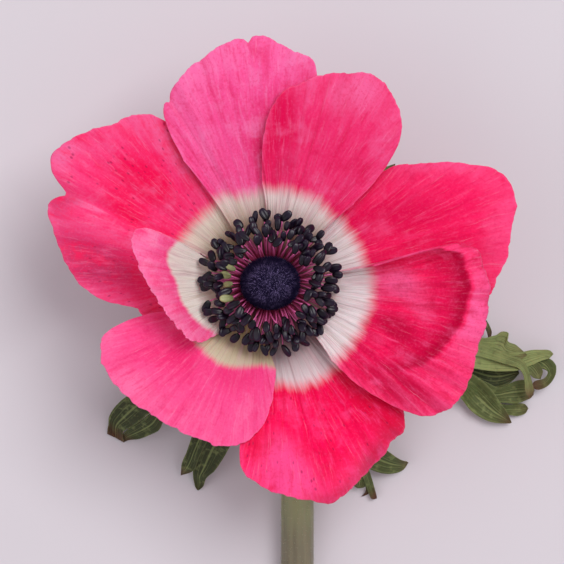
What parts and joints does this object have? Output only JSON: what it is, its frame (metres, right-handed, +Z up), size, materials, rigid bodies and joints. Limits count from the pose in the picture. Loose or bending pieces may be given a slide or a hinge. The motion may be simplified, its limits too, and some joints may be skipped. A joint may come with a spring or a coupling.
{
  "type": "anemone flower",
  "caption": "Cut anemone with open pink tepals, a white eye, a dark domed centre with black stamens, divided green bracts and a short stem, lying with its face up.",
  "frame": {"origin": "on the surface it lies on, at the middle of the bounding box's underside", "axes": "+Z up, the way the open head faces; +Y from the cut end of the stem towards the head; +X to the right as the head is looked at"},
  "size_m": [0.0948, 0.1572, 0.0412],
  "materials": {
    "tepal": "soft satin petal, pink with a white foot",
    "bract": "matte green leaf with brown lobe tips",
    "stem": "matte olive stem with soft hairs",
    "dome": "matte dark violet, papillate",
    "stamen": "satin blue-black anthers on magenta filaments"
  },
  "bodies": {
    "root": {"stem": "stem", "bract_right": "bract", "bract_left": "bract", "bract_top": "bract", "tepal_top_left": "tepal", "tepal_top_right": "tepal", "tepal_right": "tepal", "tepal_lower_right": "tepal", "tepal_bottom": "tepal", "tepal_bottom_left": "tepal", "tepal_left_inner": "tepal", "tepal_left": "tepal", "carpel_dome": "dome", "stamen_01": "stamen", "stamen_02": "stamen", "stamen_03": "stamen", "stamen_04": "stamen", "stamen_05": "stamen", "stamen_06": "stamen", "stamen_07": "stamen", "stamen_08": "stamen", "stamen_09": "stamen", "stamen_10": "stamen", "stamen_11": "stamen", "stamen_12": "stamen", "stamen_13": "stamen", "stamen_14": "stamen", "stamen_15": "stamen", "stamen_16": "stamen", "stamen_17": "stamen", "stamen_18": "stamen", "stamen_19": "stamen", "stamen_20": "stamen", "stamen_21": "stamen", "stamen_22": "stamen", "stamen_23": "stamen", "stamen_24": "stamen", "stamen_25": "stamen", "stamen_26": "stamen", "stamen_27": "stamen", "stamen_28": "stamen", "stamen_29": "stamen", "stamen_30": "stamen", "stamen_31": "stamen", "stamen_32": "stamen", "stamen_33": "stamen", "stamen_34": "stamen", "stamen_35": "stamen", "stamen_36": "stamen", "stamen_37": "stamen", "stamen_38": "stamen", "stamen_39": "stamen", "stamen_40": "stamen", "stamen_41": "stamen", "stamen_42": "stamen", "stamen_43": "stamen", "stamen_44": "stamen", "stamen_45": "stamen", "stamen_46": "stamen"}
  },
  "joints": []
}
